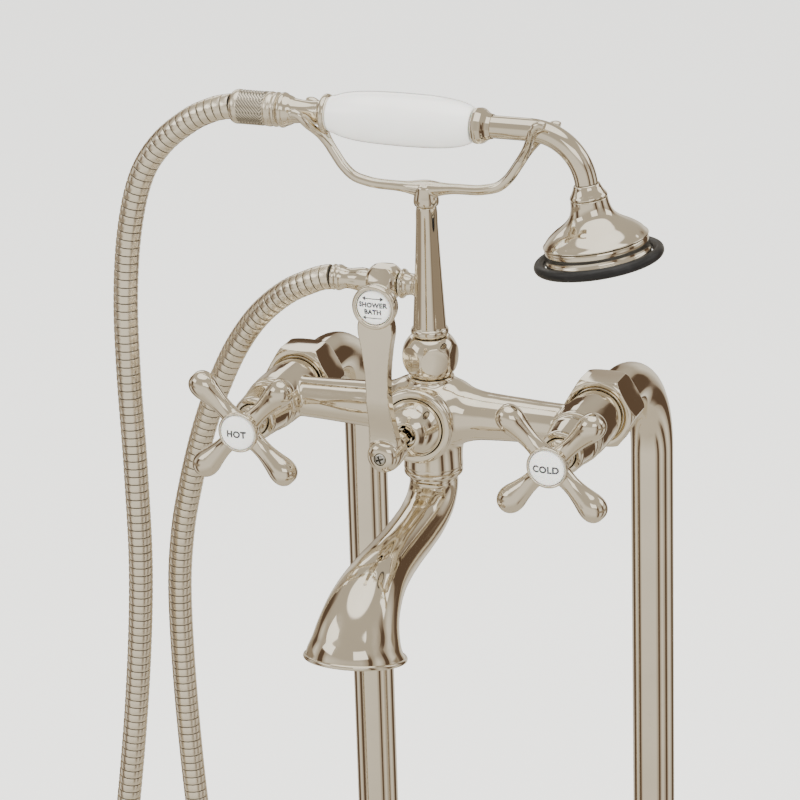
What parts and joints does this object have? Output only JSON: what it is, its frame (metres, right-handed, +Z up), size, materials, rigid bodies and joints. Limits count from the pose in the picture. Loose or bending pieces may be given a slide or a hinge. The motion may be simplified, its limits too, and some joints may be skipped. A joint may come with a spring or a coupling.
{
  "type": "bath shower faucet",
  "caption": "Floor-standing bath faucet: bridge body on two risers, cross-handle valves, diverter lever, swinging spout, and a handset with a hose on a cradle.",
  "frame": {"origin": "on the floor, midway between the axes of the two risers", "axes": "+X to the cold side, -Y towards the user standing at the spout, +Z up"},
  "size_m": [0.3763, 0.2967, 0.8696],
  "materials": {
    "polished_nickel": "polished nickel plate on brass",
    "black_rubber": "black moulded rubber",
    "stainless_screw": "stainless steel screw",
    "white_porcelain": "glossy white glazed porcelain",
    "plain_brass": "turned brass, unplated",
    "stainless_hose": "interlocked stainless strip, satin"
  },
  "bodies": {
    "stand": {"body_casting": "polished_nickel", "cold_flange_screw": "stainless_screw", "cold_floor_flange": "polished_nickel", "cold_gland_nut": "polished_nickel", "cold_riser": "polished_nickel", "cold_riser_ferrule": "plain_brass", "cold_union_nut": "polished_nickel", "cold_union_washer": "black_rubber", "cold_valve_bonnet": "polished_nickel", "cold_valve_cartridge": "plain_brass", "cold_valve_seal": "black_rubber", "column": "polished_nickel", "column_nut": "polished_nickel", "column_washer": "black_rubber", "cradle": "polished_nickel", "diverter_bonnet": "polished_nickel", "diverter_seal": "black_rubber", "hose_ferrule": "polished_nickel", "hose_outlet_nut": "polished_nickel", "hose_outlet_washer": "black_rubber", "hot_flange_screw": "stainless_screw", "hot_floor_flange": "polished_nickel", "hot_gland_nut": "polished_nickel", "hot_riser": "polished_nickel", "hot_riser_ferrule": "plain_brass", "hot_union_nut": "polished_nickel", "hot_union_washer": "black_rubber", "hot_valve_bonnet": "polished_nickel", "hot_valve_cartridge": "plain_brass", "hot_valve_seal": "black_rubber", "shower_hose": "stainless_hose", "spout_collar": "polished_nickel"},
    "hot_valve_stem": {"hot_valve_spindle": "plain_brass", "hot_handle": "polished_nickel", "hot_handle_screw": "stainless_screw", "hot_index_button": "white_porcelain"},
    "cold_valve_stem": {"cold_valve_spindle": "plain_brass", "cold_handle": "polished_nickel", "cold_handle_screw": "stainless_screw", "cold_index_button": "white_porcelain"},
    "diverter_stem": {"diverter_spindle": "polished_nickel", "diverter_spool": "plain_brass", "diverter_lever": "polished_nickel", "lever_screw": "stainless_screw", "lever_index_button": "white_porcelain"},
    "swing_spout": {"spout": "polished_nickel", "spout_seal": "black_rubber"},
    "handset": {"bell_collar": "polished_nickel", "bell_rim": "polished_nickel", "bumper_ring": "black_rubber", "handset_core_tube": "plain_brass", "handset_elbow": "polished_nickel", "handset_ferrule": "polished_nickel", "handset_grip": "white_porcelain", "handset_hose_nut": "polished_nickel", "handset_tail": "polished_nickel", "handset_washer": "black_rubber", "spray_bell": "polished_nickel", "spray_face": "polished_nickel"}
  },
  "joints": [
    {"name": "hot_valve_turn", "type": "hinge", "parent": "stand", "child": "hot_valve_stem", "pos_m": [-0.089, -0.118, 0.69], "axis": [0, -1, 0], "range_deg": [0, 90]},
    {"name": "cold_valve_turn", "type": "hinge", "parent": "stand", "child": "cold_valve_stem", "pos_m": [0.089, -0.118, 0.69], "axis": [0, -1, 0], "range_deg": [-90, 0]},
    {"name": "diverter_turn", "type": "hinge", "parent": "stand", "child": "diverter_stem", "pos_m": [0, -0.118, 0.69], "axis": [0, -1, 0], "range_deg": [-45, 45]},
    {"name": "spout_swing", "type": "hinge", "parent": "stand", "child": "swing_spout", "pos_m": [0, -0.118, 0.66], "axis": [0, 0, 1], "range_deg": [-60, 60]},
    {"name": "handset_lift", "type": "slide", "parent": "stand", "child": "handset", "axis": [0, 0, 1], "range_m": [0, 0.05], "deforming": ["shower_hose"]}
  ]
}
